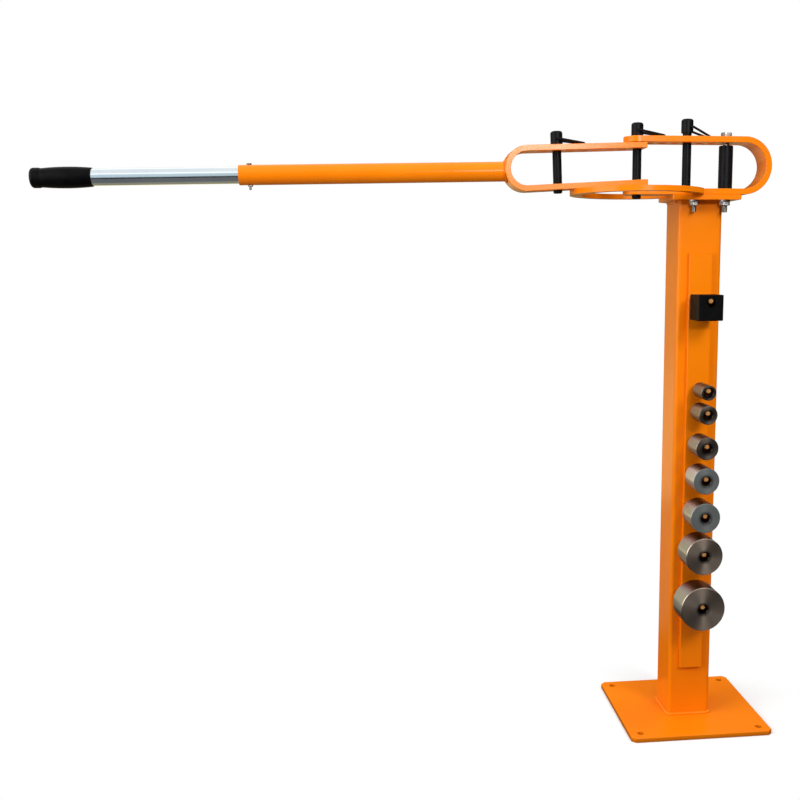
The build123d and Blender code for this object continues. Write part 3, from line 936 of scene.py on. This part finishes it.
# Half the floor's side, how far it lies below the object, and where it starts to whiten and is white
FLOOR_HALF = 1.7
FLOOR_DROP = 0.0004
SHADOW_START = 0.14
SHADOW_REACH = 0.26

# Colours of the stage, and the strength of its darkest parts
PAPER = (0.86, 0.86, 0.86, 1.0)
DULL_PAPER = (0.18, 0.18, 0.18, 1.0)
WHITE = (1.0, 1.0, 1.0, 1.0)
FLOOR_GOLD = (1.0, 0.90, 0.60, 1.0)
WALL_GOLD = (1.0, 0.84, 0.42, 1.0)
WINDOW_BLUE = (0.80, 0.93, 1.0, 1.0)
DIM = 0.03


def stage_floor():
    floor = begun(
        "studio_floor", bpy.ops.mesh.primitive_plane_add,
        size=2 * FLOOR_HALF, location=(0.0, 0.0, -FLOOR_DROP),
    )
    bpy.ops.object.transform_apply(location=True, rotation=True, scale=True)
    material = bpy.data.materials.new("studio paper")
    material.use_nodes = True
    material.node_tree.nodes.clear()
    wiring = Wiring(material.node_tree)
    place = wiring.node("ShaderNodeTexCoord").outputs["Object"]
    depth = wiring.axes(place)["Y"]
    distance = wiring.length(place)
    path = wiring.node("ShaderNodeLightPath").outputs

    # What the camera sees: paper that takes the shadow, going over to white
    paper = wiring.node("ShaderNodeBsdfDiffuse", Color=PAPER).outputs["BSDF"]
    white = wiring.node("ShaderNodeEmission", Strength=1.0).outputs["Emission"]
    far = wiring.eased(distance, low=0.0, high=1.0, start=SHADOW_START, stop=SHADOW_REACH)
    seen = wiring.blend_shaders(paper, white, far)

    # What a glossy piece mirrors: a glow that grows and turns golden towards the back, dark at the foot
    level = wiring.eased(depth, low=0.16, high=0.34, start=-0.20, stop=0.20)
    foot = wiring.eased(distance, low=0.08, high=1.0, start=0.36, stop=0.60)
    back = wiring.eased(depth, low=0.0, high=1.0, start=-0.05, stop=0.20)
    glow = wiring.node(
        "ShaderNodeEmission",
        Color=wiring.blend(WHITE, FLOOR_GOLD, back),
        Strength=wiring.product(level, foot),
    )

    # What lights the object from below: dull paper
    dull = wiring.node("ShaderNodeBsdfDiffuse", Color=DULL_PAPER).outputs["BSDF"]
    bounce = wiring.blend_shaders(dull, glow.outputs["Emission"], path["Is Glossy Ray"])
    surface = wiring.blend_shaders(bounce, seen, path["Is Camera Ray"])
    wiring.node("ShaderNodeOutputMaterial", Surface=surface)
    floor.data.materials.append(material)


def studio_world():
    """White to the camera, a soft sky to dull surfaces, and a studio of pale walls to glossy ones."""
    world = bpy.data.worlds.new("studio")
    bpy.context.scene.world = world
    world.use_nodes = True
    world.node_tree.nodes.clear()
    wiring = Wiring(world.node_tree)
    path = wiring.node("ShaderNodeLightPath").outputs
    axes = wiring.axes(wiring.node("ShaderNodeTexCoord").outputs["Generated"])
    across, depth, height = axes["X"], axes["Y"], axes["Z"]

    # What a glossy piece mirrors: a bright roof, a wall behind on the left, a left wall, a window in front,
    # left of the middle, and a strip low down behind
    roof = wiring.eased(height, low=0.0, high=1.0, start=0.38, stop=0.60)
    behind = wiring.eased(depth, low=0.0, high=1.0, start=0.2, stop=0.7)
    wall = wiring.product(behind, wiring.eased(across, low=0.55, high=0.0, start=-0.15, stop=0.05))
    left_wall = wiring.eased(across, low=0.60, high=0.0, start=-0.90, stop=-0.50)
    window = wiring.product(
        wiring.eased(depth, low=0.82, high=0.0, start=-0.90, stop=-0.60),
        wiring.eased(height, low=0.0, high=1.0, start=-0.26, stop=-0.16),
        wiring.eased(across, low=1.0, high=0.0, start=-0.10, stop=-0.03),
    )
    strip = wiring.product(
        wiring.eased(depth, low=0.0, high=0.50, start=0.6, stop=0.9),
        wiring.eased(height, low=1.0, high=0.0, start=-0.10, stop=-0.07),
    )
    mirrored = wiring.total(roof, wall, left_wall, DIM, window, strip)
    sky = wiring.eased(height, low=DIM, high=1.42, start=0.25, stop=0.92)
    strength = wiring.blend_numbers(sky, mirrored, path["Is Glossy Ray"])
    strength = wiring.blend_numbers(strength, 1.0, path["Is Camera Ray"])

    # Its tint, golden low down behind and bluish in front
    low_down = wiring.eased(height, low=1.0, high=0.0, start=0.35, stop=0.60)
    golden = wiring.product(behind, low_down, path["Is Glossy Ray"])
    in_front = wiring.eased(depth, low=1.0, high=0.0, start=-0.95, stop=-0.75)
    bluish = wiring.product(in_front, path["Is Glossy Ray"])
    tint = wiring.blend(wiring.blend(WHITE, WALL_GOLD, golden), WINDOW_BLUE, bluish)
    background = wiring.node("ShaderNodeBackground", Color=tint, Strength=strength)
    wiring.node("ShaderNodeOutputWorld", Surface=background.outputs["Background"])


def softbox(name, place, target, width, height, watts):
    lamp = bpy.data.lights.new(name, "AREA")
    lamp.shape = "RECTANGLE"
    lamp.size = width
    lamp.size_y = height
    lamp.energy = watts
    stand = bpy.data.objects.new(name, lamp)
    bpy.context.scene.collection.objects.link(stand)
    stand.location = place
    stand.rotation_euler = (Vector(target) - Vector(place)).to_track_quat("-Z", "Y").to_euler()


def studio_lamps():
    """A key from the right, a small lamp near the camera, tilted up, and a broad fill from the left."""
    softbox("key", place=(0.9, -2.8, 2.4), target=(0.0, 0.0, 0.5), width=0.9, height=0.9, watts=46.0)
    softbox(
        "near the camera", place=(0.08, -2.2, 1.32), target=(-0.10, 0.0, 4.84),
        width=0.44, height=0.58, watts=48.0,
    )
    softbox(
        "left fill", place=(-2.6, -1.0, 1.3), target=(0.0, 0.0, 0.6), width=2.2, height=2.2, watts=64.0
    )


# Camera at the photograph's viewing angle, with its lens and sensor in millimetres

EYE = Vector((-0.55181, -1.74978, 0.79630))
YAW = radians(6.703)
PITCH = radians(9.195)
ROLL = radians(-0.357)
SENSOR = 36.0
LENS = 46.874
SHIFT = (-0.1153, 0.0476)
NEAREST = 0.05
FURTHEST = 60.0


def set_camera():
    right = Vector((cos(YAW), -sin(YAW), 0.0))
    ahead = Vector((sin(YAW) * cos(PITCH), cos(YAW) * cos(PITCH), -sin(PITCH)))
    up = right.cross(ahead)
    turned_right = cos(ROLL) * right + sin(ROLL) * up
    turned_up = -sin(ROLL) * right + cos(ROLL) * up
    lens = bpy.data.cameras.new("photo view")
    lens.sensor_width = SENSOR
    lens.lens = LENS
    lens.shift_x, lens.shift_y = SHIFT
    lens.clip_start = NEAREST
    lens.clip_end = FURTHEST
    camera = bpy.data.objects.new("photo view", lens)
    bpy.context.scene.collection.objects.link(camera)
    axes = Matrix((turned_right, turned_up, -ahead)).transposed().to_4x4()
    camera.matrix_world = Matrix.Translation(EYE) @ axes
    bpy.context.scene.camera = camera


stage_floor()
studio_world()
studio_lamps()
set_camera()
bpy.context.scene.view_settings.view_transform = "Standard"
